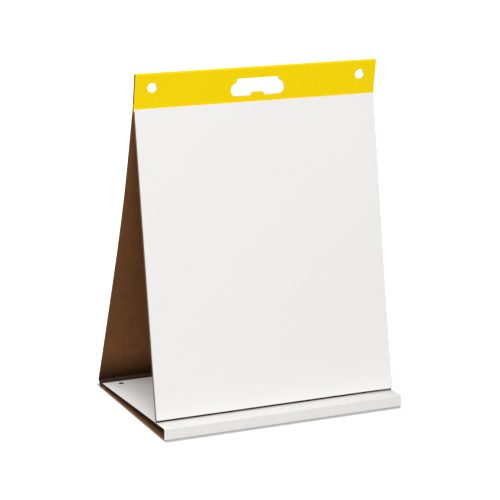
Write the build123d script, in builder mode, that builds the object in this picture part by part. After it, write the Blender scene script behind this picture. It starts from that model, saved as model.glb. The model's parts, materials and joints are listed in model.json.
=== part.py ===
from build123d import *
from math import asin, atan, atan2, cos, degrees, radians, sin, tan
import os

# Tabletop easel pad: a folded corrugated stand with a pad of twenty sheets on its front leg.
# Millimetres. +X runs to the reader's right, +Y away from the reader and +Z up. The origin is
# the middle of the footprint, on the table. The stand is one long blank of corrugated board,
# folded across its width, and a second board is the front leg. Every panel is drawn as its
# section in the YZ plane and extruded across the width. The blank's outer face runs through
# one line of fold points: shelf edge, lip top, floor front, floor rear, spine top, header fold
# and header top. The front face of the second board runs from header top to pad fold to foot.

# Sheets
sheet_w = 508.0
sheet_len = 590.0
sheet_t = 0.12
sheet_count = 20
gum_band = 28.0
top_sheet_gap = 0.1

# Corrugated board, and how it is crushed at a fold
side_reveal = 0.75
board_t = 3.0
crease_t = 1.1
crush_len = 5.0
crease_gap = 0.4

# Base
floor_len = 335.0
lip_h = 23.0
shelf_clear = 12.0
shelf_lift = 5.5

# Spine and rear leg
spine_len = 17.2
spine_lean = 39.5
rear_bow = 8.3

# Front leg and its seat on the shelf
foot_back = 41.0
pad_lean = 11.3
seat_gap = 0.4
foot_reveal = 3.5
sheet_top_gap = 1.0

# Header
header_h = 68.0
header_lean = 6.5
header_crush = 12.0
header_travel = 23.0
strip_t = 0.4
strip_turn = 9.0
glue_t = 0.2
glue_margin = 7.5

# Hang holes and hand grip, set down from the header's top, and those of the shelf, set down
# from its free edge, which stops short of the header's top when the stand is shut
hole_d = 19.0
hole_side = 35.0
hole_drop = 28.5
grip_w = 113.0
grip_lobe_h = 26.6
grip_h = 34.8
grip_shoulder = 12.0
grip_drop = 22.0
shelf_hole_d = 11.0
shelf_cut_drop = 15.0
grip_corner_r = 3.0
grip_shoulder_r = 4.0
tongue_w = 30.0
tongue_h = 6.8
tongue_slope = 70.0
tongue_r = 1.2


def heading(angle):
    """Unit step in the YZ plane, at an angle counted from +Y towards +Z."""
    return Vector(cos(radians(angle)), sin(radians(angle)))


def angle_of(step):
    """The heading of a step, in degrees."""
    return degrees(atan2(step.Y, step.X))


def fold_room(turn):
    """How far a crushed end stays back from its fold line, where two of them close by turn."""
    return crease_gap / 2 + crease_t * tan(radians(max(turn, 0.0) / 2))


def face_plane(point, outward):
    """A panel's face: local X across the width, local Y up or along it, local Z out of it."""
    return Plane((0, point.X, point.Y), x_dir=(1, 0, 0), z_dir=(0, outward.X, outward.Y))


# The board's width, just wider than the sheets
board_w = sheet_w + 2 * side_reveal

# Base: floor, lip and shelf
depth = floor_len + spine_len * sin(radians(spine_lean))
floor_front = Vector(-depth / 2, 0)
floor_rear = floor_front + Vector(floor_len, 0)
lip_top = floor_front + Vector(0, lip_h)
shelf_len = floor_len - shelf_clear
shelf_slope = degrees(asin((lip_h - 2 * board_t - shelf_lift) / shelf_len))
shelf_up = heading(90 - shelf_slope)
shelf_edge = lip_top + heading(-shelf_slope) * shelf_len
spine_top = floor_rear + heading(90 - spine_lean) * spine_len

# Front leg: the rear lower corner of its board, its heel, stands just over the shelf
pad_up = heading(90 - pad_lean)
pad_back = heading(-pad_lean)
front_leg_len = sheet_top_gap + sheet_len + foot_reveal
heel_y = floor_front.X + foot_back + (pad_back * board_t).X
shelf_at_heel = lip_top.Y - (heel_y - lip_top.X) * tan(radians(shelf_slope))
heel = Vector(heel_y, shelf_at_heel + seat_gap / cos(radians(shelf_slope)))
foot = heel - pad_back * board_t
pad_fold = foot + pad_up * front_leg_len

# Header: front board, glue and rear board lie flat on each other
header_up = heading(90 + header_lean)
header_back_step = heading(header_lean)
header_top = pad_fold + header_up * header_h
header_rear_top = header_top + header_back_step * (2 * board_t + glue_t)
header_fold = header_rear_top - header_up * header_h
header_stack = strip_t + 2 * board_t + glue_t

# Rear leg: an arc from spine top to header fold, bowed towards the front leg
rear_chord = header_fold - spine_top
rear_angle = angle_of(rear_chord)
rear_radius = rear_chord.length**2 / (8 * rear_bow) + rear_bow / 2
rear_bow_turn = degrees(2 * atan(2 * rear_bow / rear_chord.length))
rear_centre = (spine_top + header_fold) * 0.5 + heading(rear_angle - 90) * (rear_radius - rear_bow)
rear_len = radians(2 * rear_bow_turn) * rear_radius

# How far each fold is turned from flat, positive where it closes towards the inner face
lip_top_turn = 90 + shelf_slope
floor_front_turn = 90.0
floor_rear_turn = 90 - spine_lean
spine_top_turn = rear_angle + rear_bow_turn - (90 - spine_lean)
header_fold_turn = 90 + header_lean - (rear_angle - rear_bow_turn) + header_travel
pad_fold_turn = -(header_lean + pad_lean)


def folded_end(fold, way, inward, turn, crush):
    """Three corners of a board's crushed end, from its outer face to its full thickness."""
    tip = fold + way * fold_room(turn)
    return [tip, tip + inward * crease_t, fold + way * crush + inward * board_t]


def cut_end(edge, inward):
    """Two corners of a board's cut end, from its outer face to its inner face."""
    return [edge, edge + inward * board_t]


def rear_point(step, inset):
    """Point of the rear leg, step up its outer face from the spine and inset into the board."""
    spoke = heading(angle_of(spine_top - rear_centre) - degrees(step / rear_radius))
    return rear_centre + spoke * (rear_radius + inset)


def hang_cuts(diameter, hole_line, grip_top):
    """Two hang holes and the hand grip in the open sketch, at their heights in local Y."""
    hole_x = board_w / 2 - hole_side
    with Locations((-hole_x, hole_line), (hole_x, hole_line)):
        Circle(diameter / 2)
    with Locations((0, grip_top - grip_h)):
        add(grip.sketch)


# Outline of the hand grip: two round lobes for the knuckles, a narrower top and a tongue
with BuildSketch() as grip:
    with Locations((0, grip_lobe_h / 2)):
        SlotOverall(grip_w, grip_lobe_h)
        Rectangle(
            grip_w - 2 * grip_shoulder,
            grip_h - grip_lobe_h / 2,
            align=(Align.CENTER, Align.MIN),
        )
    fillet(grip.vertices().group_by(Axis.Y)[-2], grip_shoulder_r)
    fillet(grip.vertices().group_by(Axis.Y)[-1], grip_corner_r)
    Trapezoid(
        tongue_w,
        tongue_h,
        tongue_slope,
        align=(Align.CENTER, Align.MIN),
        mode=Mode.SUBTRACT,
    )
    tongue_top = grip.vertices().filter_by_position(Axis.Y, tongue_h - 0.01, tongue_h + 0.01)
    fillet(tongue_top.sort_by(Axis.X), tongue_r)

# Floor panel: flat on the table, with the lip's fold in front and the spine's behind
with BuildPart() as floor_panel:
    with BuildSketch(Plane.YZ):
        front_end = folded_end(
            floor_front, heading(0), heading(90), floor_front_turn, crush_len
        )
        rear_end = folded_end(
            floor_rear, heading(180), heading(90), floor_rear_turn, crush_len
        )
        with BuildLine():
            Polyline(*front_end, *reversed(rear_end), close=True)
        make_face()
    extrude(amount=board_w / 2, both=True)

# Lip panel: the upright front of the base
with BuildPart() as lip_panel:
    with BuildSketch(Plane.YZ):
        top_end = folded_end(lip_top, heading(-90), heading(0), lip_top_turn, crush_len)
        bottom_end = folded_end(
            floor_front, heading(90), heading(0), floor_front_turn, crush_len
        )
        with BuildLine():
            Polyline(*top_end, *reversed(bottom_end), close=True)
        make_face()
    extrude(amount=board_w / 2, both=True)

# Shelf panel: slopes back from the lip, with the cuts that meet the header's when it is shut
with BuildPart() as shelf_panel:
    with BuildSketch(Plane.YZ):
        free_end = cut_end(shelf_edge, shelf_up * -1)
        lip_end = folded_end(
            lip_top, heading(-shelf_slope), shelf_up * -1, lip_top_turn, crush_len
        )
        with BuildLine():
            Polyline(*free_end, *reversed(lip_end), close=True)
        make_face()
    extrude(amount=board_w / 2, both=True)
    with BuildSketch(face_plane(lip_top, shelf_up)):
        hang_cuts(shelf_hole_d, shelf_len - shelf_cut_drop, shelf_len - shelf_cut_drop)
    extrude(amount=-board_t, mode=Mode.SUBTRACT)

# Spine panel: the narrow strip between floor and rear leg
with BuildPart() as spine_panel:
    with BuildSketch(Plane.YZ):
        spine_up = heading(90 - spine_lean)
        spine_inward = heading(180 - spine_lean)
        low_end = folded_end(
            floor_rear, spine_up, spine_inward, floor_rear_turn, crush_len
        )
        high_end = folded_end(
            spine_top, spine_up * -1, spine_inward, spine_top_turn, crush_len
        )
        with BuildLine():
            Polyline(*low_end, *reversed(high_end), close=True)
        make_face()
    extrude(amount=board_w / 2, both=True)

# Rear panel: the bowed rear leg
with BuildPart() as rear_panel:
    with BuildSketch(Plane.YZ):
        low_step = fold_room(spine_top_turn)
        high_step = rear_len - fold_room(header_fold_turn)
        high_crush = rear_len - header_crush
        with BuildLine():
            ThreePointArc(
                rear_point(low_step, 0),
                rear_point(rear_len / 2, 0),
                rear_point(high_step, 0),
            )
            Polyline(
                rear_point(high_step, 0),
                rear_point(high_step, crease_t),
                rear_point(high_crush, board_t),
            )
            ThreePointArc(
                rear_point(high_crush, board_t),
                rear_point(rear_len / 2, board_t),
                rear_point(crush_len, board_t),
            )
            Polyline(
                rear_point(crush_len, board_t),
                rear_point(low_step, crease_t),
                rear_point(low_step, 0),
            )
        make_face()
    extrude(amount=board_w / 2, both=True)

# Header's rear board: the top end of the blank
with BuildPart() as header_back:
    with BuildSketch(Plane.YZ):
        fold_end = folded_end(
            header_fold, header_up, header_back_step * -1, header_fold_turn, header_crush
        )
        top_end = cut_end(header_rear_top, header_back_step * -1)
        with BuildLine():
            Polyline(*fold_end, *reversed(top_end), close=True)
        make_face()
    extrude(amount=board_w / 2, both=True)
    with BuildSketch(face_plane(pad_fold, header_back_step * -1)):
        hang_cuts(hole_d, header_h - hole_drop, header_h - grip_drop)
    extrude(amount=-header_stack, mode=Mode.SUBTRACT)

# Header's front board: glued to the rear board and creased at the pad fold
with BuildPart() as header_board:
    with BuildSketch(Plane.YZ):
        top_end = cut_end(header_top, header_back_step)
        fold_end = folded_end(
            pad_fold, header_up, header_back_step, pad_fold_turn, header_crush
        )
        with BuildLine():
            Polyline(*top_end, *reversed(fold_end), close=True)
        make_face()
    extrude(amount=board_w / 2, both=True)
    with BuildSketch(face_plane(pad_fold, header_back_step * -1)):
        hang_cuts(hole_d, header_h - hole_drop, header_h - grip_drop)
    extrude(amount=-header_stack, mode=Mode.SUBTRACT)

# Glue between the header's boards, above their crushed ends and off the grip's tongue
with BuildPart() as header_glue:
    glue_face = header_top + header_back_step * board_t
    with BuildSketch(face_plane(glue_face, header_back_step * -1)):
        Rectangle(
            board_w,
            header_h - header_crush - glue_margin,
            align=(Align.CENTER, Align.MAX),
        )
    extrude(amount=-glue_t)
    with BuildSketch(face_plane(pad_fold, header_back_step * -1)):
        hang_cuts(hole_d, header_h - hole_drop, header_h - grip_drop)
        with Locations((0, header_h - grip_drop)):
            Rectangle(tongue_w, grip_h, align=(Align.CENTER, Align.MAX))
    extrude(amount=-header_stack, mode=Mode.SUBTRACT)

# Header strip: the coloured card up the front of the header, over its top and a little down
# its back, so that no cut end of board shows at the top
with BuildPart() as header_strip:
    with BuildSketch(Plane.YZ):
        card_low = pad_fold + header_up * crease_gap
        card_end = header_rear_top - header_up * strip_turn
        card_over = header_up * strip_t
        card_out = header_back_step * strip_t
        with BuildLine():
            Polyline(
                card_low,
                header_top,
                header_rear_top,
                card_end,
                card_end + card_out,
                header_rear_top + card_over + card_out,
                header_top + card_over - card_out,
                card_low - card_out,
                close=True,
            )
        make_face()
    extrude(amount=board_w / 2, both=True)
    with BuildSketch(face_plane(pad_fold, header_back_step * -1)):
        hang_cuts(hole_d, header_h - hole_drop, header_h - grip_drop)
    extrude(amount=strip_t, mode=Mode.SUBTRACT)

# Front board: the front leg, which carries the sheets
with BuildPart() as front_board:
    with BuildSketch(Plane.YZ):
        fold_end = folded_end(pad_fold, pad_up * -1, pad_back, pad_fold_turn, crush_len)
        foot_end = cut_end(foot, pad_back)
        with BuildLine():
            Polyline(*fold_end, *reversed(foot_end), close=True)
        make_face()
    extrude(amount=board_w / 2, both=True)

# Top sheet's gummed band, which stays stuck when the rest of the sheet is lifted
sheets_top = pad_fold - pad_up * sheet_top_gap
with BuildPart() as top_sheet_band:
    band_face = sheets_top - pad_back * (sheet_t * (sheet_count - 1))
    with BuildSketch(face_plane(band_face, pad_back * -1)):
        Rectangle(sheet_w, gum_band, align=(Align.CENTER, Align.MAX))
    extrude(amount=sheet_t)

# Top sheet below its band
with BuildPart() as top_sheet:
    lift_line = sheets_top - pad_up * (gum_band + crease_gap)
    top_face = lift_line - pad_back * (sheet_t * (sheet_count - 1) + top_sheet_gap)
    with BuildSketch(face_plane(top_face, pad_back * -1)):
        Rectangle(sheet_w, sheet_len - gum_band - crease_gap, align=(Align.CENTER, Align.MAX))
    extrude(amount=sheet_t)

os.makedirs("parts", exist_ok=True)
pieces = {
    "floor_panel": floor_panel,
    "lip_panel": lip_panel,
    "shelf_panel": shelf_panel,
    "spine_panel": spine_panel,
    "rear_panel": rear_panel,
    "header_back": header_back,
    "header_board": header_board,
    "header_glue": header_glue,
    "header_strip": header_strip,
    "front_board": front_board,
    "top_sheet_band": top_sheet_band,
    "sheet_01": top_sheet,
}

# Sheets under the top one, each on the face of the next, down to the front board
for number in range(2, sheet_count + 1):
    with BuildPart() as sheet:
        sheet_face = sheets_top - pad_back * (sheet_t * (sheet_count - number))
        with BuildSketch(face_plane(sheet_face, pad_back * -1)):
            Rectangle(sheet_w, sheet_len, align=(Align.CENTER, Align.MAX))
        extrude(amount=sheet_t)
    pieces[f"sheet_{number:02d}"] = sheet

for name, piece in pieces.items():
    piece.part.label = name
    export_step(piece.part, f"parts/{name}.step")

# Fold lines and hole centres, as Y and Z
hinges = {
    "lip_fold": floor_front,
    "shelf_fold": lip_top,
    "spine_fold": floor_rear,
    "rear_fold": spine_top,
    "header_fold": header_fold,
    "pad_lift": pad_fold,
    "sheet_lift": top_face - pad_back * sheet_t,
    "header_hole": header_top - header_up * hole_drop + header_back_step * board_t,
    "shelf_hole": lip_top + heading(-shelf_slope) * (shelf_len - shelf_cut_drop),
}
for name, point in hinges.items():
    print(f"{name}: y {point.X:.3f} z {point.Y:.3f}")
print(f"rear leg {rear_len:.1f} leaning {rear_angle - 90:.2f}, shelf slope {shelf_slope:.3f}")
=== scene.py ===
import json
from math import asin, atan2, cos, pi, radians, sin
from typing import NamedTuple

import bmesh
import bpy
from bpy.props import FloatProperty, FloatVectorProperty, IntProperty, PointerProperty
from bpy.types import Operator, Panel, PropertyGroup
from mathutils import Matrix, Vector


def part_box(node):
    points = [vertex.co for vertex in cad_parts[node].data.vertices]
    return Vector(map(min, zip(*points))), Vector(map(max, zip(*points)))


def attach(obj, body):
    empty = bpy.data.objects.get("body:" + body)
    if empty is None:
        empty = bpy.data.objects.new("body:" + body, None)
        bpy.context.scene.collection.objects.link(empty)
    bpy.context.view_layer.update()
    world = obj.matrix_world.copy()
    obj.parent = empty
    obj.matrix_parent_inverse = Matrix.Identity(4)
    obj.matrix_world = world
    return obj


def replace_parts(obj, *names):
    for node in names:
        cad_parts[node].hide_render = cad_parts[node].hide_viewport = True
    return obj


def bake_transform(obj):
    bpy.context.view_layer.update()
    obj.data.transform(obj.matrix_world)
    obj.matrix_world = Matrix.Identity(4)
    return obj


bl_info = {
    "name": "Tabletop Easel Pad",
    "version": (1, 0, 0),
    "blender": (4, 5, 0),
    "location": "3D View > Sidebar > Easel Pad",
    "description": "Dresses a folded board stand, its pad of sheets and its studio",
    "category": "Object",
}

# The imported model. All sizes are in metres. X runs across the width, and every fold runs along X.
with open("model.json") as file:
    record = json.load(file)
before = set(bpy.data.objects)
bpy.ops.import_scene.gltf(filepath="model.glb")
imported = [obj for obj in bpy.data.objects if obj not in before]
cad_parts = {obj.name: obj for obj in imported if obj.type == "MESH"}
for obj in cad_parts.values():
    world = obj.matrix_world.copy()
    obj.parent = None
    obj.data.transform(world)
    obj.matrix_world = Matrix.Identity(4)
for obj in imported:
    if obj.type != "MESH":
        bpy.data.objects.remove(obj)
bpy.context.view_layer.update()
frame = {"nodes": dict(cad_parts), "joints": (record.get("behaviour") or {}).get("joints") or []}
FOLD = {joint["name"]: Vector(joint["pos_m"]) for joint in frame["joints"]}
HALF_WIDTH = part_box("front_board")[1].x
UP, BACK = Vector((0, 0, 1)), Vector((0, 1, 0))

# Places of a board's finishes in its list of materials.
OUTER, ENDS, HOLE, INNER = range(4)

# Cuts: corners this near are one, and a plane takes corners this near to it.
MERGE = 1e-6
SNAP = 1e-7

# Shelf: how much height counts beside depth, to find the upper one of its rearmost corners.
HEIGHT_SHARE = 0.01

# Board: cosine from which a face looks along a way, gap between parts that must not touch, what the
# flutes lack at each side, and how far a punch passes a hole's faces.
FACING = 0.8
SKIN_GAP = 0.00002
FLUTE_MARGIN = 0.0002
PUNCH_REACH = 0.006

# Rear leg: its rows from fold to fold, and the length at each end of its arc that gives a cut's way.
REAR_ROWS = 24
ARC_STEP = 0.001

# Folds: how far from the fold its extra edges lie, the length on each side to two points that are worked
# out but not used, the depth that counts as outer facing, spare depth at the crushed corner, and the
# angle up to which it looks smooth.
FOLD_ROWS = (0.0012, 0.0024, 0.004)
FOLD_BEND = 0.0032
FOLD_FACING = 0.0006
FOLD_SPARE = 0.00012
FOLD_SMOOTH = radians(50)

# Header: facets of its rounded top fold.
TOP_STEPS = 24

# Top sheet: its grid, how far its curl reaches along the foot and up the side, its gap to the next
# sheet and how soon the gap opens, its wave, and how far above and below its band's edge two points lie
# that are worked out but not used.
LEAF_COLUMNS, LEAF_ROWS = 28, 64
CURL_WIDTH, CURL_HEIGHT = 0.12, 0.22
LEAF_GAP = 0.0001
LEAF_OPENS = 8
WAVE_ACROSS, WAVE_DOWN, WAVE_START, WAVE_SHARE = 7.0, 3.1, 0.6, 0.35
BEND_ABOVE, BEND_BELOW = 0.001, 0.022

# Finishes: the range in which a noise mostly lies, and how far roughness strays from its value.
NOISE_LOW, NOISE_HIGH = 0.3, 0.7
ROUGH_SWING = 0.06

# Floor: half its width, and how far it lies under the stand. The patch under the stand doesn't glow:
# half its depth, its shift to the left, by what factor its soft edge is narrower at the sides than in
# front, and where that edge starts and ends, counted from the patch.
FLOOR_HALF = 14.0
FLOOR_DROP = 0.0002
PATCH_DEPTH, PATCH_SHIFT = 0.173, 0.002
PATCH_SIDES = 6
PATCH_INNER, PATCH_OUTER = 0.006, 0.02

# Lamps: name, place, target, width and the setting that holds the power.
LAMPS = (
    ("key_lamp", (-3.13, -5.77, 5.74), (0, -0.1, 0.3), 5.2, "key_power"),
    ("fill_lamp", (4.8, -4.4, 2.3), (0, 0, 0.3), 3.6, "fill_power"),
    ("side_lamp", (-2.2, 0.4, 2.9), (0, 0, 0.1), 1.6, "side_power"),
    ("back_lamp", (-2.0, 5.8, 3.6), (0, 0, 0.2), 2.6, "back_power"),
)


class Finish(NamedTuple):
    """A finish of board, card, paper or glue.

    colour names the setting that holds it. fibre is (scale, tone, cloud scale, cloud tone), flute the
    depth of the flutes' painted shade, and bump the strength and distance of fibres and the distance of
    flutes.
    shade is (low, high, tone): painted shade, whose tone at the height low is back to 1 at the height high.
    """

    colour: str
    roughness: float
    fibre: tuple
    flute: float
    bump: tuple
    specular: float
    shade: tuple = ()


KRAFT_BUMP = (0.4, 0.0001, 0.00005)
PLAIN_BUMP = (0.4, 0.0001, 0.0)
FINISHES = {
    "white": Finish(
        "white_liner", 0.6, (900.0, 0.006, 30.0, 0.006), 0.004, (0.1, 0.00003, 0.00002), 0.3
    ),
    "kraft": Finish("kraft", 0.9, (700.0, 0.30, 45.0, 0.14), 0.05, KRAFT_BUMP, 0.08),
    # Painted shade: kraft darkened towards the bottom of the rear leg.
    "corner_kraft": Finish(
        "kraft", 0.9, (700.0, 0.30, 45.0, 0.14), 0.05, KRAFT_BUMP, 0.08, (0.012, 0.085, 0.3)
    ),
    # Painted shadow: near-black kraft where the board lies in shadow.
    "dark_kraft": Finish("dark_kraft", 0.9, (700.0, 0.20, 45.0, 0.1), 0.0, PLAIN_BUMP, 0.05),
    # Partly the paler colour of cut fibre, partly painted light on the ends that face the light.
    "cut_kraft": Finish("cut_kraft", 0.9, (700.0, 0.25, 45.0, 0.12), 0.0, PLAIN_BUMP, 0.05),
    # Painted shade: darker kraft inside the base, where shade falls.
    "deep_kraft": Finish("deep_kraft", 0.9, (700.0, 0.25, 45.0, 0.12), 0.05, KRAFT_BUMP, 0.05),
    "card": Finish(
        "card", 0.55, (500.0, 0.01, 25.0, 0.01), 0.003, (0.12, 0.00003, 0.00002), 0.05
    ),
    "paper": Finish("paper", 0.75, (1100.0, 0.006, 40.0, 0.005), 0.0, (0.1, 0.00003, 0.0), 0.2),
    "glue": Finish("glue", 0.4, (300.0, 0.2, 30.0, 0.2), 0.0, PLAIN_BUMP, 0.5),
}


class EaselSizes(PropertyGroup):
    """Sizes of the board, its folds and the sheets."""

    board_t: FloatProperty(
        name="Board", description="Thickness of the corrugated board", default=0.003, unit="LENGTH"
    )
    liner_t: FloatProperty(
        name="Liner", description="Thickness of each facing of the board", default=0.0003, unit="LENGTH"
    )
    flute_t: FloatProperty(
        name="Flute paper", description="Thickness of the wavy middle", default=0.00024, unit="LENGTH"
    )
    flute_pitch: FloatProperty(
        name="Flute pitch", description="From one wave to the next", default=0.0065, unit="LENGTH"
    )
    flute_steps: IntProperty(
        name="Steps per flute", description="Facets in one wave", default=8, min=4
    )
    crease_t: FloatProperty(
        name="Crushed board", description="Thickness of the board at a fold", default=0.0011, unit="LENGTH"
    )
    crush_len: FloatProperty(
        name="Crush", description="Crushed length on each side of a fold", default=0.005, unit="LENGTH"
    )
    header_crush: FloatProperty(
        name="Header crush",
        description="Crushed length at the two folds under the header",
        default=0.011,
        unit="LENGTH",
    )
    fold_round: FloatProperty(
        name="Fold rounding",
        description="How far a fold's outer edge is rounded",
        default=0.0013,
        unit="LENGTH",
    )
    edge_t: FloatProperty(
        name="Cut edge",
        description="Thickness of a die-cut hole's pressed edge",
        default=0.00005,
        unit="LENGTH",
    )
    rear_bow: FloatProperty(
        name="Rear bow", description="How far the rear leg bows inwards", default=0.0083, unit="LENGTH"
    )
    rear_high_bow: FloatProperty(
        name="Rear high bow",
        description="How much further than its plain arc the upper rear leg bows",
        default=0.0047,
        unit="LENGTH",
    )
    pad_lean: FloatProperty(
        name="Pad lean",
        description="Lean of the front leg, back from upright",
        default=radians(11.3),
        unit="ROTATION",
    )
    header_lean: FloatProperty(
        name="Header lean",
        description="Lean of the header, forward from upright",
        default=radians(6.5),
        unit="ROTATION",
    )
    spine_lean: FloatProperty(
        name="Spine lean",
        description="Lean of the spine, back from upright",
        default=radians(39.5),
        unit="ROTATION",
    )
    top_round: FloatProperty(
        name="Header top",
        description="Height of the header's rounded top fold",
        default=0.0041,
        unit="LENGTH",
    )
    corner_curl: FloatProperty(
        name="Corner curl",
        description="How far the top sheet's lower right corner lifts",
        default=0.0055,
        unit="LENGTH",
    )
    sheet_t: FloatProperty(
        name="Sheet", description="Thickness of one sheet", default=0.00012, unit="LENGTH"
    )
    sheet_wave: FloatProperty(
        name="Sheet wave",
        description="How far the top sheet waves off the next",
        default=0.0006,
        unit="LENGTH",
    )


class EaselColours(PropertyGroup):
    """Colours of the board, card, paper and glue."""

    white_liner: FloatVectorProperty(
        name="White liner",
        description="Bleached outer facing",
        subtype="COLOR",
        default=(0.86, 0.848, 0.825),
        size=3,
    )
    kraft: FloatVectorProperty(
        name="Kraft",
        description="Brown facing and flutes",
        subtype="COLOR",
        default=(0.195, 0.081, 0.031),
        size=3,
    )
    # Painted shadow: near-black kraft for the spine's inner facing, the front leg's facing below the sheets
    # and the shelf's ends and hole walls.
    dark_kraft: FloatVectorProperty(
        name="Dark kraft",
        description="Spine's inner facing, front leg's facing behind the sheets and shelf's ends",
        subtype="COLOR",
        default=(0.05, 0.033, 0.022),
        size=3,
    )
    # Paler kraft for cut ends: partly the colour of cut fibre, partly painted light.
    cut_kraft: FloatVectorProperty(
        name="Cut kraft",
        description="Cut ends of the floor and the front leg",
        subtype="COLOR",
        default=(0.34, 0.19, 0.10),
        size=3,
    )
    # Painted shade: darker kraft for the inner facing of the floor, the lip and the shelf.
    deep_kraft: FloatVectorProperty(
        name="Deep kraft",
        description="Inner facing of the floor, the lip and the shelf",
        subtype="COLOR",
        default=(0.15, 0.070, 0.033),
        size=3,
    )
    card: FloatVectorProperty(
        name="Card",
        description="Yellow card on the header",
        subtype="COLOR",
        default=(0.985, 0.71, 0.002),
        size=3,
    )
    paper: FloatVectorProperty(
        name="Paper", description="Sheets of the pad", subtype="COLOR", default=(0.865, 0.857, 0.842), size=3
    )
    glue: FloatVectorProperty(
        name="Glue", description="Set glue in the header", subtype="COLOR", default=(0.60, 0.50, 0.34), size=3
    )


class EaselStage(PropertyGroup):
    """Camera, lamps and floor of the studio."""

    focal: FloatProperty(name="Focal length", description="Lens in millimetres", default=143.835)
    yaw: FloatProperty(
        name="Yaw", description="Camera turned to the right", default=radians(25.448), unit="ROTATION"
    )
    pitch: FloatProperty(
        name="Pitch", description="Camera turned down", default=radians(15.19), unit="ROTATION"
    )
    roll: FloatProperty(
        name="Roll",
        description="Camera turned about its line of sight",
        default=radians(1.039),
        unit="ROTATION",
    )
    place: FloatVectorProperty(
        name="Camera place",
        description="Where the camera stands",
        default=(-1.6334, -3.4298, 1.3347),
        unit="LENGTH",
        size=3,
    )
    key_power: FloatProperty(
        name="Key lamp", description="Power of the large front lamp", default=546.0, unit="POWER"
    )
    fill_power: FloatProperty(
        name="Fill lamp", description="Power of the right lamp", default=76.0, unit="POWER"
    )
    side_power: FloatProperty(
        name="Side lamp", description="Power of the left lamp", default=24.0, unit="POWER"
    )
    back_power: FloatProperty(
        name="Back lamp", description="Power of the lamp behind", default=170.0, unit="POWER"
    )
    room_light: FloatProperty(
        name="Room light", description="Strength of light from all round", default=0.2
    )
    floor_colour: FloatVectorProperty(
        name="Floor", description="Pale floor", subtype="COLOR", default=(0.5, 0.5, 0.5), size=3
    )
    near_glow: FloatProperty(
        name="Near glow", description="White added for the camera to the floor under the stand", default=0.0
    )
    far_glow: FloatProperty(
        name="Far glow",
        description="White added for the camera to the floor away from the stand",
        default=1.0,
    )


def heading(angle):
    """Unit vector in the YZ plane, at an angle counted from +Y towards +Z."""
    return Vector((0, cos(angle), sin(angle)))


def across(way):
    """The way turned a quarter in the YZ plane, from +Y towards +Z."""
    return Vector((0, -way.z, way.y))


def cad_reach(node, point, way):
    """How far a CAD node reaches from a point, along a way."""
    return max((vert.co - point).dot(way) for vert in frame["nodes"][node].data.vertices)


def panel_ways():
    """The ways that shelf, spine, pad and header run in the YZ plane."""
    sizes = bpy.context.scene.easel_sizes
    corners = frame["nodes"]["shelf_panel"].data.vertices
    far = max(corners, key=lambda vert: vert.co.y + vert.co.z * HEIGHT_SHARE).co - FOLD["shelf_fold"]
    shelf = Vector((0, far.y, far.z)).normalized()
    spine = heading(pi / 2 - sizes.spine_lean)
    pad = heading(pi / 2 - sizes.pad_lean)
    header = heading(pi / 2 + sizes.header_lean)
    return shelf, spine, pad, header


def header_level():
    """How far along the header its flat faces reach, under the rounded top fold."""
    header = panel_ways()[3]
    return cad_reach("header_strip", Vector(), header) - bpy.context.scene.easel_sizes.top_round


def link(name, bm, materials, body=None):
    """Makes a piece from a bmesh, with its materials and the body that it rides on."""
    mesh = bpy.data.meshes.new(name)
    bm.to_mesh(mesh)
    bm.free()
    piece = bpy.data.objects.new(name, mesh)
    bpy.context.scene.collection.objects.link(piece)
    for material in materials:
        mesh.materials.append(material)
    if body:
        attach(piece, body)
    return piece


def cad_copy(node):
    """A merged copy of a CAD node's mesh, to be cut and thickened."""
    bm = bmesh.new()
    bm.from_mesh(frame["nodes"][node].data)
    bmesh.ops.remove_doubles(bm, verts=bm.verts, dist=MERGE)
    bm.normal_update()
    return bm


def slice_at(bm, point, direction, dist=SNAP, drop=False):
    """Cuts a bmesh at a plane, and can drop what lies on the side that direction points to."""
    bmesh.ops.bisect_plane(
        bm,
        geom=bm.verts[:] + bm.edges[:] + bm.faces[:],
        dist=dist,
        plane_co=point,
        plane_no=direction,
        clear_outer=drop,
    )


def keep_faces(bm, outward):
    """Drops every face that doesn't look along outward, and the edges and corners left over."""
    bm.normal_update()
    dropped = [face for face in bm.faces if face.normal.dot(outward) < FACING]
    bmesh.ops.delete(bm, geom=dropped, context="FACES")


def thicken(bm, thickness):
    """Gives the faces of a sheet a thickness, behind their normals."""
    bmesh.ops.solidify(bm, geom=bm.faces[:], thickness=thickness)
    bmesh.ops.recalc_face_normals(bm, faces=bm.faces[:])


def soften(bm, limit=radians(35)):
    """Shades a bmesh smooth, and keeps every edge sharp that turns by more than a limit."""
    bm.normal_update()
    for face in bm.faces:
        face.smooth = True
    for edge in bm.edges:
        edge.smooth = len(edge.link_faces) == 2 and edge.calc_face_angle() < limit


def draw_out(bm, faces, vec):
    """Raises faces along a vector, with walls that join them to where they were."""
    raised = bmesh.ops.extrude_face_region(bm, geom=faces)["geom"]
    verts = [item for item in raised if isinstance(item, bmesh.types.BMVert)]
    bmesh.ops.translate(bm, verts=verts, vec=vec)


def is_end(face):
    """Whether a face looks to the left or the right."""
    return abs(face.normal.x) > 0.5


def add_mesh(bm, other):
    """Adds another bmesh's faces to a bmesh."""
    mesh = bpy.data.meshes.new("part")
    other.to_mesh(mesh)
    other.free()
    bm.from_mesh(mesh)
    bpy.data.meshes.remove(mesh)


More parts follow.
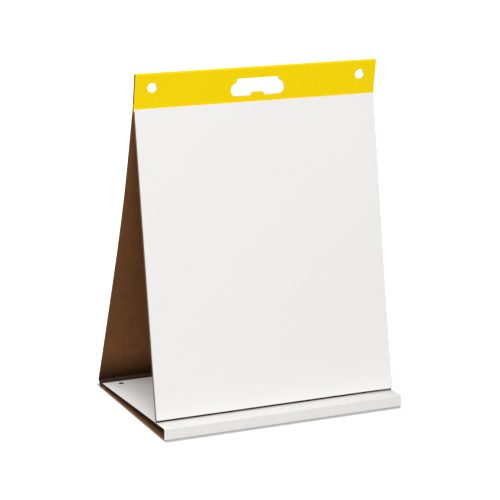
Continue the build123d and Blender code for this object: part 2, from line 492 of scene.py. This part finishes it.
def hole_rims(node, outward):
    """The edges of the holes in a CAD panel's face that looks along outward."""
    bm = cad_copy(node)
    keep_faces(bm, outward)
    inner = [edge for edge in bm.edges if not edge.is_boundary]
    bmesh.ops.delete(bm, geom=bm.faces[:], context="FACES_ONLY")
    bmesh.ops.delete(bm, geom=inner, context="EDGES")
    outer = {vert for vert in bm.verts if abs(vert.co.x) > HALF_WIDTH - SKIN_GAP / 2}
    grown = set(outer)
    while grown:
        near = {edge.other_vert(vert) for vert in grown for edge in vert.link_edges}
        grown = near - outer
        outer |= grown
    bmesh.ops.delete(bm, geom=list(outer), context="VERTS")
    return bm


def hole_cutters(node, outward):
    """Solids that fill the holes of a CAD panel and reach past both its faces."""
    bm = hole_rims(node, outward)
    bmesh.ops.edgeloop_fill(bm, edges=bm.edges[:])
    bmesh.ops.translate(bm, verts=bm.verts[:], vec=outward * PUNCH_REACH)
    draw_out(bm, bm.faces[:], outward * -2 * PUNCH_REACH)
    bmesh.ops.recalc_face_normals(bm, faces=bm.faces[:])
    return bm


def punch(bm, cutters):
    """Cuts a bmesh with another one, and frees both for the result."""
    holder = link("punched", bm, [])
    tool = link("punch", cutters, [])
    step = holder.modifiers.new("Holes", "BOOLEAN")
    step.operation = "DIFFERENCE"
    step.solver = "EXACT"
    step.object = tool
    shown = holder.evaluated_get(bpy.context.evaluated_depsgraph_get())
    result = bmesh.new()
    result.from_mesh(shown.to_mesh())
    shown.to_mesh_clear()
    for item in (holder, tool):
        mesh = item.data
        bpy.data.objects.remove(item)
        bpy.data.meshes.remove(mesh)
    return result


def straight(start, along, inward):
    """Place on a flat panel, by distance along it and depth into it."""

    def place(step, depth):
        return start + along * step + inward * depth

    return place


def high_bow(sizes, share):
    """How much further than its arc the rear leg bows, by share of its height. Most at two thirds."""
    return sizes.rear_high_bow * share**4 * (1 - share) ** 2 / ((2 / 3) ** 4 * (1 / 3) ** 2)


def rear_arc(sizes):
    """Place on the bowed rear leg, by distance up its outer face and depth into it."""
    low, high = FOLD["rear_fold"], FOLD["header_fold"]
    chord = high - low
    radius = chord.length**2 / (8 * sizes.rear_bow) + sizes.rear_bow / 2
    outward = Vector((0, chord.z, -chord.y)).normalized()
    centre = (low + high) / 2 + outward * (radius - sizes.rear_bow)
    first = low - centre
    angle = atan2(first.z, first.y)
    length = 2 * asin(chord.length / 2 / radius) * radius

    def place(step, depth):
        bow = high_bow(sizes, step / length)
        return centre + heading(angle - step / radius) * (radius + depth + bow)

    return place, length


def bow_facing(bm, rows):
    """Bows a facing copied from the rear leg's plain arc as far as the rest of the leg."""
    sizes = bpy.context.scene.easel_sizes
    low = FOLD["rear_fold"]
    chord = FOLD["header_fold"] - low
    inward = across(chord.normalized())
    for row in range(1, rows):
        slice_at(bm, low + chord * (row / rows), chord.normalized(), MERGE)
    for vert in bm.verts:
        share = (vert.co - low).dot(chord) / chord.length_squared
        vert.co += inward * high_bow(sizes, share)


def flutes(place, start, end, rows):
    """The board's wavy middle, from start to end along a panel. Its waves run along the panel."""
    sizes = bpy.context.scene.easel_sizes
    waves = 2 * HALF_WIDTH / sizes.flute_pitch
    bm = bmesh.new()
    bmesh.ops.create_grid(
        bm, x_segments=round(waves * sizes.flute_steps), y_segments=rows, size=1.0
    )
    middle = sizes.board_t / 2
    swing = middle - sizes.liner_t - sizes.flute_t / 2 - SKIN_GAP
    for vert in bm.verts:
        x = vert.co.x * (HALF_WIDTH - FLUTE_MARGIN)
        step = start + (end - start) * (vert.co.y + 1) / 2
        depth = middle + swing * sin(2 * pi * x / sizes.flute_pitch)
        vert.co = place(step, depth)
        vert.co.x = x
    bm.normal_update()
    bmesh.ops.solidify(bm, geom=bm.faces[:], thickness=sizes.flute_t)
    bmesh.ops.recalc_face_normals(bm, faces=bm.faces[:])
    return bm


def board(name, node, body, outward, ends, place, span, rows, finishes, holes=False, bowed=False):
    """One panel of corrugated board: outer facing, flutes and inner facing, cut at its crushed ends."""
    sizes = bpy.context.scene.easel_sizes
    made = bmesh.new()
    for way, index in ((outward, OUTER), (outward * -1, INNER)):
        facing = cad_copy(node)
        for point, direction in ends:
            slice_at(facing, point, direction, drop=True)
        keep_faces(facing, way)
        if bowed:
            bow_facing(facing, rows)
        thicken(facing, sizes.liner_t)
        facing.normal_update()
        for face in facing.faces:
            face.material_index = index if face.normal.dot(way) > FACING else ENDS
        add_mesh(made, facing)
    middle = flutes(place, span[0], span[1], rows)
    if holes:
        middle = punch(middle, hole_cutters(node, outward))
    for face in middle.faces:
        face.material_index = ENDS
    add_mesh(made, middle)
    if holes:
        add_mesh(made, hole_edges(node, outward))
    soften(made)
    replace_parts(link(name, made, finishes, body), node)


def flat_board(name, node, body, start, end, along, inward, finishes, rows=1, holes=False):
    """A flat panel along from the fold start to the fold end, to the header's top or to its free edge."""
    sizes = bpy.context.scene.easel_sizes
    crush = sizes.header_crush if body == "header" else sizes.crush_len
    place = straight(FOLD[start], along, inward)
    ends = [(FOLD[start] + along * crush, along * -1)]
    if end == "top":
        ends.append((along * header_level(), along))
        reach = header_level() - FOLD[start].dot(along)
    elif end:
        ends.append((FOLD[end] - along * crush, along))
        reach = (FOLD[end] - FOLD[start]).length - crush
    else:
        reach = cad_reach(node, FOLD[start], along)
    board(name, node, body, inward * -1, ends, place, (crush, reach), rows, finishes, holes)


def hole_edges(node, outward):
    """The pressed edges of a board's die-cut holes, which close off its flutes."""
    sizes = bpy.context.scene.easel_sizes
    bm = hole_rims(node, outward)
    bmesh.ops.edgeloop_fill(bm, edges=bm.edges[:])
    bmesh.ops.translate(bm, verts=bm.verts[:], vec=outward * (-SKIN_GAP / 2))
    filled = bm.faces[:]
    ring = bmesh.ops.inset_region(
        bm, faces=filled, thickness=sizes.edge_t, use_boundary=True, use_even_offset=True
    )["faces"]
    bmesh.ops.delete(bm, geom=filled, context="FACES_ONLY")
    draw_out(bm, ring, outward * (SKIN_GAP - sizes.board_t))
    bmesh.ops.recalc_face_normals(bm, faces=bm.faces[:])
    for face in bm.faces:
        face.material_index = HOLE
    return bm


def crease(name, fold, one, other, crush, finishes, ends_too=False):
    """The crushed and folded board between two panels."""
    sizes = bpy.context.scene.easel_sizes
    (along_one, in_one), (along_other, in_other) = one, other
    bisector = (in_one + in_other).normalized()
    depth = sizes.crease_t / bisector.dot(in_one) + FOLD_SPARE
    corners = [
        fold + along_one * crush[0],
        fold,
        fold + along_other * crush[1],
        fold + along_other * crush[1] + in_other * sizes.board_t,
        fold + bisector * depth,
        fold + along_one * crush[0] + in_one * sizes.board_t,
    ]
    bm = bmesh.new()
    verts = [bm.verts.new(corner + Vector((-HALF_WIDTH, 0, 0))) for corner in corners]
    bm.faces.new(verts)
    bmesh.ops.bevel(
        bm,
        geom=[verts[1]],
        offset=sizes.fold_round,
        segments=5,
        profile=0.5,
        affect="VERTICES",
        material=-1,
    )
    draw_out(bm, bm.faces[:], (2 * HALF_WIDTH, 0, 0))
    for row in FOLD_ROWS:
        for along in (along_one, along_other):
            slice_at(bm, fold + along * row, along)
    bmesh.ops.recalc_face_normals(bm, faces=bm.faces[:])
    bm.normal_update()
    for face in bm.faces:
        middle = face.calc_center_median() - fold
        inward = in_one if middle.dot(along_one) > middle.dot(along_other) else in_other
        if is_end(face):
            face.material_index = OUTER if ends_too else ENDS
        else:
            face.material_index = OUTER if middle.dot(inward) < FOLD_FACING else INNER
    soften(bm, FOLD_SMOOTH)
    piece = link(name, bm, finishes)
    start, end = fold + along_one * FOLD_BEND, fold + along_other * FOLD_BEND
    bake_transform(piece)
    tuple(start)
    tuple(end)


# Shader groups and finishes


def new_group(name, inputs, outputs):
    """An empty shader node group with its sockets."""
    tree = bpy.data.node_groups.new(name, "ShaderNodeTree")
    for label, kind, value in inputs:
        socket = tree.interface.new_socket(name=label, in_out="INPUT", socket_type=kind)
        if value is not None:
            socket.default_value = value
    for label, kind in outputs:
        tree.interface.new_socket(name=label, in_out="OUTPUT", socket_type=kind)
    return tree


def add(tree, kind, **settings):
    """A node with its settings and its sockets' values, which are given by name or number."""
    node = tree.nodes.new(kind)
    values = settings.pop("values", {})
    for label, value in settings.items():
        setattr(node, label, value)
    for label, value in values.items():
        node.inputs[label].default_value = value
    return node


def join(tree, *pairs):
    """Links sockets two by two."""
    for output, target in pairs:
        tree.links.new(output, target)


def spread(tree, low, high):
    """Spreads a noise, which mostly keeps near its middle, between two values."""
    ends = {"From Min": NOISE_LOW, "From Max": NOISE_HIGH, "To Min": low, "To Max": high}
    return add(tree, "ShaderNodeMapRange", values=ends)


def fibre_group():
    """Fibres and cloudy formation of paper, laid along X. Puts out a tone around 1 and a height."""
    if "Paper fibre" in bpy.data.node_groups:
        return bpy.data.node_groups["Paper fibre"]
    tree = new_group(
        "Paper fibre",
        [
            ("Fibre scale", "NodeSocketFloat", 900.0),
            ("Fibre tone", "NodeSocketFloat", 0.1),
            ("Cloud scale", "NodeSocketFloat", 60.0),
            ("Cloud tone", "NodeSocketFloat", 0.05),
        ],
        [("Tone", "NodeSocketFloat"), ("Height", "NodeSocketFloat")],
    )
    enter = tree.nodes.new("NodeGroupInput")
    leave = tree.nodes.new("NodeGroupOutput")
    place = tree.nodes.new("ShaderNodeTexCoord")
    stretch = add(tree, "ShaderNodeMapping", values={"Scale": (0.16, 1.0, 1.0)})
    fibre = add(tree, "ShaderNodeTexNoise", values={"Detail": 4.0, "Roughness": 0.62})
    cloud = add(tree, "ShaderNodeTexNoise", values={"Detail": 3.0, "Roughness": 0.5})
    fibre_map = spread(tree, -0.5, 0.5)
    cloud_map = spread(tree, -0.5, 0.5)
    fibre_share = add(tree, "ShaderNodeMath", operation="MULTIPLY_ADD", values={2: 1.0})
    cloud_share = add(tree, "ShaderNodeMath", operation="MULTIPLY_ADD")
    join(
        tree,
        (place.outputs["Object"], stretch.inputs["Vector"]),
        (stretch.outputs["Vector"], fibre.inputs["Vector"]),
        (place.outputs["Object"], cloud.inputs["Vector"]),
        (enter.outputs["Fibre scale"], fibre.inputs["Scale"]),
        (enter.outputs["Cloud scale"], cloud.inputs["Scale"]),
        (fibre.outputs["Fac"], fibre_map.inputs["Value"]),
        (cloud.outputs["Fac"], cloud_map.inputs["Value"]),
        (fibre_map.outputs["Result"], fibre_share.inputs[0]),
        (enter.outputs["Fibre tone"], fibre_share.inputs[1]),
        (cloud_map.outputs["Result"], cloud_share.inputs[0]),
        (enter.outputs["Cloud tone"], cloud_share.inputs[1]),
        (fibre_share.outputs[0], cloud_share.inputs[2]),
        (cloud_share.outputs[0], leave.inputs["Tone"]),
        (fibre.outputs["Fac"], leave.inputs["Height"]),
    )
    return tree


def flute_group():
    """Print-through of the flutes on a facing, in step with the real waves: painted shade as a tone, beside a
    height for bump. Puts out a tone and a height.
    """
    if "Flute shadow" in bpy.data.node_groups:
        return bpy.data.node_groups["Flute shadow"]
    tree = new_group(
        "Flute shadow",
        [("Pitch", "NodeSocketFloat", 0.0065), ("Depth of tone", "NodeSocketFloat", 0.04)],
        [("Tone", "NodeSocketFloat"), ("Height", "NodeSocketFloat")],
    )
    enter = tree.nodes.new("NodeGroupInput")
    leave = tree.nodes.new("NodeGroupOutput")
    place = tree.nodes.new("ShaderNodeTexCoord")
    split = tree.nodes.new("ShaderNodeSeparateXYZ")
    turns = add(tree, "ShaderNodeMath", operation="DIVIDE")
    angle = add(tree, "ShaderNodeMath", operation="MULTIPLY", values={1: 2 * pi})
    wave = add(tree, "ShaderNodeMath", operation="SINE")
    tone = add(tree, "ShaderNodeMath", operation="MULTIPLY_ADD", values={2: 1.0})
    join(
        tree,
        (place.outputs["Object"], split.inputs["Vector"]),
        (split.outputs["X"], turns.inputs[0]),
        (enter.outputs["Pitch"], turns.inputs[1]),
        (turns.outputs[0], angle.inputs[0]),
        (angle.outputs[0], wave.inputs[0]),
        (wave.outputs[0], tone.inputs[0]),
        (enter.outputs["Depth of tone"], tone.inputs[1]),
        (tone.outputs[0], leave.inputs["Tone"]),
        (wave.outputs[0], leave.inputs["Height"]),
    )
    return tree


def finish(kind):
    """The material of a kind of finish: its colour under fibres and, on board, the flutes' print-through,
    whose tone is painted shade.
    """
    name = kind + "_finish"
    if name in bpy.data.materials:
        return bpy.data.materials[name]
    values = FINISHES[kind]
    material = bpy.data.materials.new(name)
    material.use_nodes = True
    tree = material.node_tree
    shader = tree.nodes["Principled BSDF"]
    shader.inputs["Specular IOR Level"].default_value = values.specular
    fibres = add(tree, "ShaderNodeGroup", node_tree=fibre_group())
    for label, value in zip(("Fibre scale", "Fibre tone", "Cloud scale", "Cloud tone"), values.fibre):
        fibres.inputs[label].default_value = value
    waves = add(tree, "ShaderNodeGroup", node_tree=flute_group())
    waves.inputs["Pitch"].default_value = bpy.context.scene.easel_sizes.flute_pitch
    waves.inputs["Depth of tone"].default_value = values.flute
    tones = add(tree, "ShaderNodeMath", operation="MULTIPLY")
    shaded = add(tree, "ShaderNodeMath", operation="MULTIPLY", values={1: 1.0})
    # Painted shade: the colour darkens towards a low height.
    if values.shade:
        low, high, tone = values.shade
        place = tree.nodes.new("ShaderNodeTexCoord")
        split = tree.nodes.new("ShaderNodeSeparateXYZ")
        rise = add(
            tree,
            "ShaderNodeMapRange",
            interpolation_type="SMOOTHSTEP",
            values={"From Min": low, "From Max": high, "To Min": tone, "To Max": 1.0},
        )
        join(
            tree,
            (place.outputs["Object"], split.inputs["Vector"]),
            (split.outputs["Z"], rise.inputs["Value"]),
            (rise.outputs["Result"], shaded.inputs[1]),
        )
    tint = add(tree, "ShaderNodeVectorMath", operation="SCALE")
    tint.inputs[0].default_value = getattr(bpy.context.scene.easel_colours, values.colour)
    rough = spread(tree, values.roughness - ROUGH_SWING, values.roughness + ROUGH_SWING)
    strength, fibre_depth, flute_depth = values.bump
    fibre_bump = add(tree, "ShaderNodeBump", values={"Strength": strength, "Distance": fibre_depth})
    flute_bump = add(tree, "ShaderNodeBump", values={"Strength": 1.0, "Distance": flute_depth})
    join(
        tree,
        (fibres.outputs["Tone"], tones.inputs[0]),
        (waves.outputs["Tone"], tones.inputs[1]),
        (tones.outputs[0], shaded.inputs[0]),
        (shaded.outputs[0], tint.inputs["Scale"]),
        (tint.outputs[0], shader.inputs["Base Color"]),
        (fibres.outputs["Height"], rough.inputs["Value"]),
        (rough.outputs["Result"], shader.inputs["Roughness"]),
        (waves.outputs["Height"], flute_bump.inputs["Height"]),
        (fibres.outputs["Height"], fibre_bump.inputs["Height"]),
        (flute_bump.outputs["Normal"], fibre_bump.inputs["Normal"]),
        (fibre_bump.outputs["Normal"], shader.inputs["Normal"]),
    )
    return material


def board_finishes(outer="white", inner="kraft", hole="kraft", ends="kraft"):
    """Finishes of corrugated board, in the order of their places."""
    return [finish(kind) for kind in (outer, ends, hole, inner)]


class EASEL_OT_boards(Operator):
    """Builds the eight panels of corrugated board with their facings and flutes"""

    bl_idname = "easel.boards"
    bl_label = "Corrugated boards"

    def execute(self, context):
        sizes = context.scene.easel_sizes
        low_crush, high_crush = sizes.crush_len, sizes.header_crush
        shelf, spine, pad, header = panel_ways()
        pierced = board_finishes(hole="white")
        # Floor: painted shade on its inner facing; its cut ends are paler kraft, partly painted light.
        flat_board(
            "floor_board", "floor_panel", "base", "lip_fold", "spine_fold", BACK, UP,
            board_finishes(inner="deep_kraft", ends="cut_kraft"),
        )
        # Lip: painted shade on its inner facing.
        flat_board(
            "lip_board", "lip_panel", "lip", "lip_fold", "shelf_fold", UP, BACK,
            board_finishes(inner="deep_kraft"),
        )
        # Shelf: painted shade on its inner facing, painted shadow on its hole walls and ends.
        flat_board(
            "shelf_board", "shelf_panel", "shelf", "shelf_fold", None, shelf, across(shelf) * -1,
            board_finishes(inner="deep_kraft", hole="dark_kraft", ends="dark_kraft"), 2, True,
        )
        # Spine: painted shadow on its inner facing.
        flat_board(
            "spine_board", "spine_panel", "spine", "spine_fold", "rear_fold", spine, across(spine),
            board_finishes(inner="dark_kraft"),
        )
        arc, arc_len = rear_arc(sizes)
        low_way = (arc(ARC_STEP, 0) - arc(0, 0)).normalized()
        high_way = (arc(arc_len, 0) - arc(arc_len - ARC_STEP, 0)).normalized()
        chord = (FOLD["header_fold"] - FOLD["rear_fold"]).normalized()
        # Rear leg: painted shade on its inner facing, darker towards its bottom.
        board(
            "rear_board", "rear_panel", "rear_leg", across(chord) * -1,
            [(arc(low_crush, 0), low_way * -1), (arc(arc_len - high_crush, 0), high_way)],
            arc, (low_crush, arc_len - high_crush), REAR_ROWS, board_finishes(inner="corner_kraft"),
            bowed=True,
        )
        flat_board(
            "header_rear_board", "header_back", "header", "header_fold", "top", header, across(header),
            pierced, 2, True,
        )
        flat_board(
            "header_front_board", "header_board", "header", "pad_lift", "top", header,
            across(header) * -1, pierced, 2, True,
        )
        # Front leg: painted shadow on its facing under the sheets; its cut ends are paler kraft, partly
        # painted light.
        flat_board(
            "front_leg_board", "front_board", "front_leg", "pad_lift", None, pad * -1, across(pad) * -1,
            board_finishes("dark_kraft", ends="cut_kraft"),
        )
        return {"FINISHED"}


class EASEL_OT_creases(Operator):
    """Builds the crushed folds that join the panels"""

    bl_idname = "easel.creases"
    bl_label = "Folds"

    def execute(self, context):
        sizes = context.scene.easel_sizes
        short, long = sizes.crush_len, sizes.header_crush
        shelf, spine, pad, header = panel_ways()
        arc, arc_len = rear_arc(sizes)
        low_way = (arc(short, 0) - arc(0, 0)).normalized()
        high_way = (arc(arc_len, 0) - arc(arc_len - long, 0)).normalized()
        # Painted shade on the inner facing of the low folds, painted shadow on those of the spine.
        low, shaded = board_finishes(inner="deep_kraft"), board_finishes(inner="dark_kraft")
        crease(
            "fold_floor_lip", FOLD["lip_fold"], (BACK, UP), (UP, BACK),
            (short, short), low,
        )
        crease(
            "fold_lip_shelf", FOLD["shelf_fold"], (UP * -1, BACK), (shelf, across(shelf) * -1),
            (short, short), low,
        )
        crease(
            "fold_floor_spine", FOLD["spine_fold"], (BACK * -1, UP), (spine, across(spine)),
            (short, short), shaded,
        )
        crease(
            "fold_spine_rear", FOLD["rear_fold"], (spine * -1, across(spine)), (low_way, across(low_way)),
            (short, short), shaded,
        )
        crease(
            "fold_rear_header", FOLD["header_fold"], (high_way * -1, across(high_way)),
            (header, across(header)), (long, long), board_finishes(),
        )
        crease(
            "fold_header_pad", FOLD["pad_lift"], (header, across(header) * -1),
            (pad * -1, across(pad) * -1), (long, short),
            board_finishes("card"), True,
        )
        return {"FINISHED"}


class EASEL_OT_card(Operator):
    """Builds the yellow card over the header, with its rounded top fold"""

    bl_idname = "easel.card"
    bl_label = "Header card"

    def execute(self, context):
        header = panel_ways()[3]
        ahead = across(header)
        bm = cad_copy("header_strip")
        slice_at(bm, header * header_level(), header, drop=True)
        soften(bm)
        reach = [vert.co.dot(ahead) for vert in bm.verts]
        middle = header * header_level() + ahead * (max(reach) + min(reach)) / 2
        radius = (max(reach) - min(reach)) / 2
        cap = bmesh.new()
        verts = []
        for step in range(TOP_STEPS + 1):
            turn = pi * step / TOP_STEPS
            place = middle + ahead * (radius * cos(turn)) + header * (radius * sin(turn))
            verts.append(cap.verts.new(place - Vector((HALF_WIDTH, 0, 0))))
        cap.faces.new(verts)
        draw_out(cap, cap.faces[:], (2 * HALF_WIDTH, 0, 0))
        bmesh.ops.recalc_face_normals(cap, faces=cap.faces[:])
        soften(cap)
        for face in cap.faces:
            face.material_index = ENDS if is_end(face) else OUTER
        add_mesh(bm, cap)
        piece = link("card_strip", bm, [finish("card"), finish("kraft")], "header")
        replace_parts(piece, "header_strip")
        return {"FINISHED"}


class EASEL_OT_glue(Operator):
    """Builds the glue between the header's boards, up to the rounded top fold"""

    bl_idname = "easel.glue"
    bl_label = "Glue"

    def execute(self, context):
        header = panel_ways()[3]
        bm = cad_copy("header_glue")
        slice_at(bm, header * header_level(), header, drop=True)
        soften(bm)
        piece = link("glue_layer", bm, [finish("glue")], "header")
        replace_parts(piece, "header_glue")
        return {"FINISHED"}


def dress(node, material):
    """Gives a CAD node that stays its finish."""
    mesh = frame["nodes"][node].data
    mesh.materials.clear()
    mesh.materials.append(material)


def leaf_rise(across_share, up_share, loose_share, near):
    """How far the top sheet stands off the next: its gap, its slow wave and the curl of its corner."""
    sizes = bpy.context.scene.easel_sizes
    loose = loose_share * loose_share * (3 - 2 * loose_share)
    wave = 0.5 + 0.5 * sin(WAVE_ACROSS * across_share + WAVE_DOWN * up_share + WAVE_START)
    curl = sizes.corner_curl * max(near, 0.0) ** 2
    gap = LEAF_GAP * min(loose_share * LEAF_OPENS, 1.0)
    return gap + sizes.sheet_wave * loose * WAVE_SHARE * wave + curl


class EASEL_OT_sheets(Operator):
    """Finishes the sheets, and builds the top one with its gummed band"""

    bl_idname = "easel.sheets"
    bl_label = "Sheets"

    def execute(self, context):
        paper = finish("paper")
        for node in frame["nodes"]:
            if node.startswith("sheet_") and node != "sheet_01":
                dress(node, paper)
        pad = panel_ways()[2]
        front = across(pad)
        corners = [vert.co for vert in frame["nodes"]["top_sheet_band"].data.vertices]
        band_top = max(corners, key=lambda corner: corner.dot(pad))
        face = max(corner.dot(front) for corner in corners)
        band = cad_reach("top_sheet_band", band_top, pad * -1)
        length = cad_reach("sheet_01", band_top, pad * -1)
        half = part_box("sheet_01")[1].x
        bm = bmesh.new()
        bmesh.ops.create_grid(bm, x_segments=LEAF_COLUMNS, y_segments=LEAF_ROWS, size=1.0)
        for vert in bm.verts:
            x = vert.co.x * half
            step = length * (1 - vert.co.y) / 2
            share = min(max((step - band) / (length - band), 0.0), 1.0)
            near = 1 - (half - x) / CURL_WIDTH - (length - step) / CURL_HEIGHT
            rise = leaf_rise(vert.co.x, vert.co.y, share, near)
            place = band_top - pad * step
            place += front * (face + rise - band_top.dot(front))
            vert.co = Vector((x, place.y, place.z))
        bm.normal_update()
        if next(iter(bm.faces)).normal.dot(front) < 0:
            bmesh.ops.reverse_faces(bm, faces=bm.faces[:])
        thicken(bm, context.scene.easel_sizes.sheet_t)
        soften(bm)
        piece = link("top_leaf", bm, [paper])
        lift = FOLD["sheet_lift"]
        start, end = lift + pad * BEND_ABOVE, lift - pad * BEND_BELOW
        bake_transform(piece)
        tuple(start)
        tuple(end)
        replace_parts(piece, "top_sheet_band", "sheet_01")
        return {"FINISHED"}


def seen_rays(tree):
    """1 for the rays that show the background: the camera's, and those of gloss and clear material."""
    path = tree.nodes.new("ShaderNodeLightPath")
    seen = add(tree, "ShaderNodeMath", operation="MAXIMUM")
    mirrored = add(tree, "ShaderNodeMath", operation="MAXIMUM")
    join(
        tree,
        (path.outputs["Is Camera Ray"], seen.inputs[0]),
        (path.outputs["Is Glossy Ray"], seen.inputs[1]),
        (seen.outputs[0], mirrored.inputs[0]),
        (path.outputs["Is Transmission Ray"], mirrored.inputs[1]),
    )
    return mirrored.outputs[0]


def floor_material(stage):
    """Pale matt floor that glows white for the camera, but for a patch under the stand."""
    material = bpy.data.materials.new("pale_floor")
    material.use_nodes = True
    tree = material.node_tree
    shader = tree.nodes["Principled BSDF"]
    shader.inputs["Base Color"].default_value = (*stage.floor_colour, 1)
    shader.inputs["Roughness"].default_value = 0.9
    shader.inputs["Specular IOR Level"].default_value = 0.1
    shader.inputs["Emission Color"].default_value = (1, 1, 1, 1)
    patch = (HALF_WIDTH - PATCH_SHIFT, PATCH_DEPTH, 0)
    place = tree.nodes.new("ShaderNodeTexCoord")
    centred = add(tree, "ShaderNodeVectorMath", operation="ADD", values={1: (PATCH_SHIFT, 0, 0)})
    size = add(tree, "ShaderNodeVectorMath", operation="ABSOLUTE")
    beyond = add(tree, "ShaderNodeVectorMath", operation="SUBTRACT", values={1: patch})
    outside = add(tree, "ShaderNodeVectorMath", operation="MAXIMUM", values={1: (0, 0, 0)})
    narrow = add(tree, "ShaderNodeVectorMath", operation="MULTIPLY", values={1: (PATCH_SIDES, 1, 0)})
    away = add(tree, "ShaderNodeVectorMath", operation="LENGTH")
    ends = {"From Min": PATCH_INNER, "From Max": PATCH_OUTER}
    ends.update({"To Min": stage.near_glow, "To Max": stage.far_glow})
    ramp = add(tree, "ShaderNodeMapRange", values=ends)
    glow = add(tree, "ShaderNodeMath", operation="MULTIPLY")
    join(
        tree,
        (place.outputs["Object"], centred.inputs[0]),
        (centred.outputs[0], size.inputs[0]),
        (size.outputs[0], beyond.inputs[0]),
        (beyond.outputs[0], outside.inputs[0]),
        (outside.outputs[0], narrow.inputs[0]),
        (narrow.outputs[0], away.inputs[0]),
        (away.outputs["Value"], ramp.inputs["Value"]),
        (ramp.outputs["Result"], glow.inputs[1]),
        (seen_rays(tree), glow.inputs[0]),
        (glow.outputs[0], shader.inputs["Emission Strength"]),
    )
    return material


def room(stage):
    """A room that lights the stand faintly from all round, and shows white behind it."""
    world = bpy.data.worlds.new("studio_room")
    world.use_nodes = True
    bpy.context.scene.world = world
    tree = world.node_tree
    tree.nodes.clear()
    white = (1, 1, 1, 1)
    faint = add(tree, "ShaderNodeBackground", values={"Color": white, "Strength": stage.room_light})
    backdrop = add(tree, "ShaderNodeBackground", values={"Color": white, "Strength": 1.0})
    choose = tree.nodes.new("ShaderNodeMixShader")
    out = tree.nodes.new("ShaderNodeOutputWorld")
    join(
        tree,
        (seen_rays(tree), choose.inputs[0]),
        (faint.outputs[0], choose.inputs[1]),
        (backdrop.outputs[0], choose.inputs[2]),
        (choose.outputs[0], out.inputs["Surface"]),
    )


def lamp(name, place, target, width, power):
    """A square area lamp aimed at a point."""
    data = bpy.data.lights.new(name, "AREA")
    data.shape = "SQUARE"
    data.size = width
    data.energy = power
    item = bpy.data.objects.new(name, data)
    item.location = place
    item.rotation_euler = (Vector(target) - Vector(place)).to_track_quat("-Z", "Y").to_euler()
    bpy.context.scene.collection.objects.link(item)


def camera(stage):
    """The camera that took the photograph, as fitted to it."""
    data = bpy.data.cameras.new("studio_camera")
    data.lens = stage.focal
    data.sensor_width = 36.0
    data.clip_start = 0.05
    data.clip_end = 100.0
    item = bpy.data.objects.new("studio_camera", data)
    item.matrix_world = (
        Matrix.Translation(Vector(stage.place))
        @ Matrix.Rotation(-stage.yaw, 4, "Z")
        @ Matrix.Rotation(pi / 2 - stage.pitch, 4, "X")
        @ Matrix.Rotation(stage.roll, 4, "Z")
    )
    bpy.context.scene.collection.objects.link(item)
    bpy.context.scene.camera = item


class EASEL_OT_stage(Operator):
    """Sets the floor, the lamps, the white room and the camera"""

    bl_idname = "easel.stage"
    bl_label = "Studio"

    def execute(self, context):
        stage = context.scene.easel_stage
        bm = bmesh.new()
        bmesh.ops.create_grid(bm, x_segments=8, y_segments=8, size=FLOOR_HALF)
        bmesh.ops.translate(bm, verts=bm.verts, vec=(0, 0, -FLOOR_DROP))
        link("studio_floor", bm, [floor_material(stage)])
        room(stage)
        for name, place, target, width, power in LAMPS:
            lamp(name, place, target, width, getattr(stage, power))
        camera(stage)
        context.scene.view_settings.view_transform = "Standard"
        return {"FINISHED"}


class EASEL_PT_panel(Panel):
    """Lists the easel pad's pieces and its sizes, colours and studio"""

    bl_idname = "EASEL_PT_panel"
    bl_label = "Easel Pad"
    bl_space_type = "VIEW_3D"
    bl_region_type = "UI"
    bl_category = "Easel Pad"

    def draw(self, context):
        layout = self.layout
        for operator in OPERATORS:
            layout.operator(operator.bl_idname)
        for group in (
            context.scene.easel_sizes,
            context.scene.easel_colours,
            context.scene.easel_stage,
        ):
            box = layout.box()
            for key in group.__annotations__:
                box.prop(group, key)


OPERATORS = (
    EASEL_OT_boards,
    EASEL_OT_creases,
    EASEL_OT_card,
    EASEL_OT_glue,
    EASEL_OT_sheets,
    EASEL_OT_stage,
)
CLASSES = (EaselSizes, EaselColours, EaselStage, *OPERATORS, EASEL_PT_panel)


def register():
    """Registers the classes and hangs the settings on the scene."""
    for item in CLASSES:
        bpy.utils.register_class(item)
    bpy.types.Scene.easel_sizes = PointerProperty(type=EaselSizes)
    bpy.types.Scene.easel_colours = PointerProperty(type=EaselColours)
    bpy.types.Scene.easel_stage = PointerProperty(type=EaselStage)


def unregister():
    """Takes the settings and the classes away again."""
    del bpy.types.Scene.easel_stage
    del bpy.types.Scene.easel_colours
    del bpy.types.Scene.easel_sizes
    for item in reversed(CLASSES):
        bpy.utils.unregister_class(item)


def main():
    """Builds every piece and the studio in order."""
    register()
    bpy.ops.easel.boards()
    bpy.ops.easel.creases()
    bpy.ops.easel.card()
    bpy.ops.easel.glue()
    bpy.ops.easel.sheets()
    bpy.ops.easel.stage()


if __name__ == "__main__":
    main()
